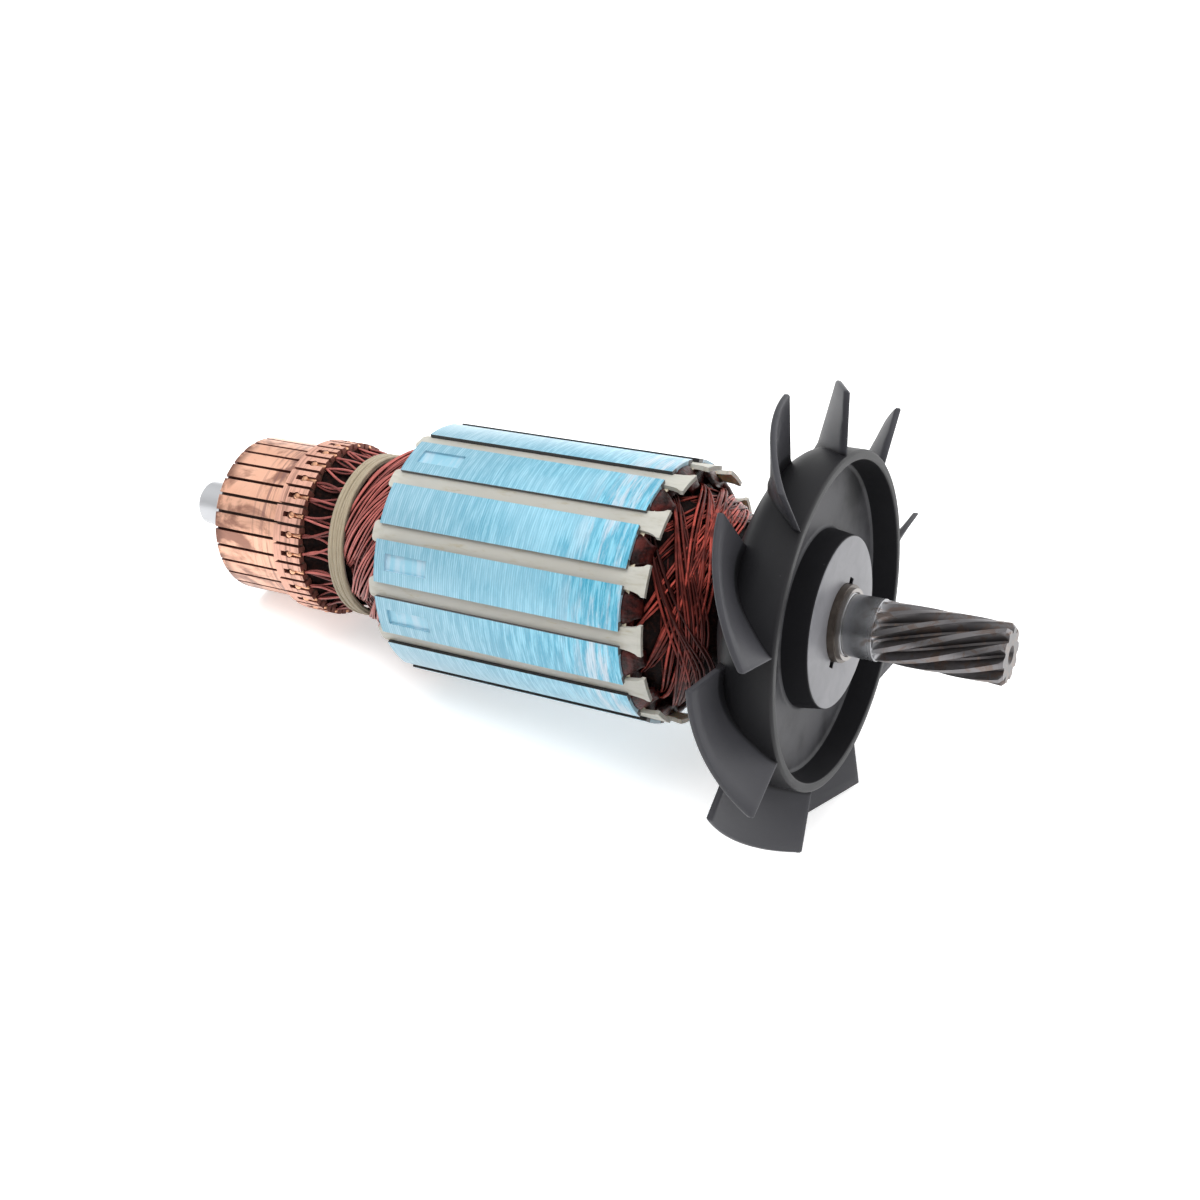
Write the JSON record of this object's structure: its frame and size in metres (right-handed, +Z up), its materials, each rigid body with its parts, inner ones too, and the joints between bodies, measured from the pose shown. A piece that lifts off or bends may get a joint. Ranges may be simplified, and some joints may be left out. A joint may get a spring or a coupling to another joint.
{
  "type": "motor armature",
  "caption": "Wound armature of a universal motor: slotted core and winding on a steel shaft, with a commutator, a cooling fan and a helical pinion.",
  "frame": {"origin": "centre of the object's box on the surface that the armature lies on, under the laminated core", "axes": "+X is the object's longest extent, from the commutator end towards the pinion end, +Z is up, and the shaft's axis lies in the XZ plane and rises towards +X"},
  "size_m": [0.187, 0.0903, 0.0884],
  "materials": {
    "ground_steel": "ground and polished, darker on the cut pinion teeth",
    "lamination_steel": "stack of thin steel sheets, pale blue, satin",
    "insulation": "dark brown-red insulation, satin",
    "slot_paper": "pale slot paper, matte",
    "enamelled_wire": "red-brown enamelled copper wire, satin gloss",
    "lacing_cord": "beige lacing cord, varnished, matte",
    "varnish": "near-black varnish, gloss",
    "moulding": "dark brown moulding compound, matte",
    "fan_plastic": "dark grey moulded plastic, matte with worn edges",
    "bush_metal": "turned metal bush, dull brass colour",
    "spacer_steel": "turned steel ring, bright",
    "wedge_plastic": "ivory wedge strips, matte",
    "bar_copper": "turned copper, satin, worn and stained by the brushes"
  },
  "bodies": {
    "root": {"shaft": "ground_steel", "shaft_sleeve": "insulation", "lamination_stack": "lamination_steel", "front_end_insulator": "insulation", "rear_end_insulator": "insulation", "slot_liners": "slot_paper", "slot_conductors": "enamelled_wire", "front_winding_head": "enamelled_wire", "rear_winding_head": "enamelled_wire", "lacing_band": "lacing_cord", "lead_varnish": "varnish", "lead_wires": "enamelled_wire", "commutator_moulding": "moulding", "fan": "fan_plastic", "fan_bush": "bush_metal", "spacer_ring": "spacer_steel", "slot_wedge_01": "wedge_plastic", "slot_wedge_02": "wedge_plastic", "slot_wedge_03": "wedge_plastic", "slot_wedge_04": "wedge_plastic", "slot_wedge_05": "wedge_plastic", "slot_wedge_06": "wedge_plastic", "slot_wedge_07": "wedge_plastic", "slot_wedge_08": "wedge_plastic", "slot_wedge_09": "wedge_plastic", "slot_wedge_10": "wedge_plastic", "slot_wedge_11": "wedge_plastic", "slot_wedge_12": "wedge_plastic", "slot_wedge_13": "wedge_plastic", "slot_wedge_14": "wedge_plastic", "commutator_bar_01": "bar_copper", "commutator_bar_02": "bar_copper", "commutator_bar_03": "bar_copper", "commutator_bar_04": "bar_copper", "commutator_bar_05": "bar_copper", "commutator_bar_06": "bar_copper", "commutator_bar_07": "bar_copper", "commutator_bar_08": "bar_copper", "commutator_bar_09": "bar_copper", "commutator_bar_10": "bar_copper", "commutator_bar_11": "bar_copper", "commutator_bar_12": "bar_copper", "commutator_bar_13": "bar_copper", "commutator_bar_14": "bar_copper", "commutator_bar_15": "bar_copper", "commutator_bar_16": "bar_copper", "commutator_bar_17": "bar_copper", "commutator_bar_18": "bar_copper", "commutator_bar_19": "bar_copper", "commutator_bar_20": "bar_copper", "commutator_bar_21": "bar_copper", "commutator_bar_22": "bar_copper", "commutator_bar_23": "bar_copper", "commutator_bar_24": "bar_copper", "commutator_bar_25": "bar_copper", "commutator_bar_26": "bar_copper", "commutator_bar_27": "bar_copper", "commutator_bar_28": "bar_copper"}
  },
  "joints": []
}
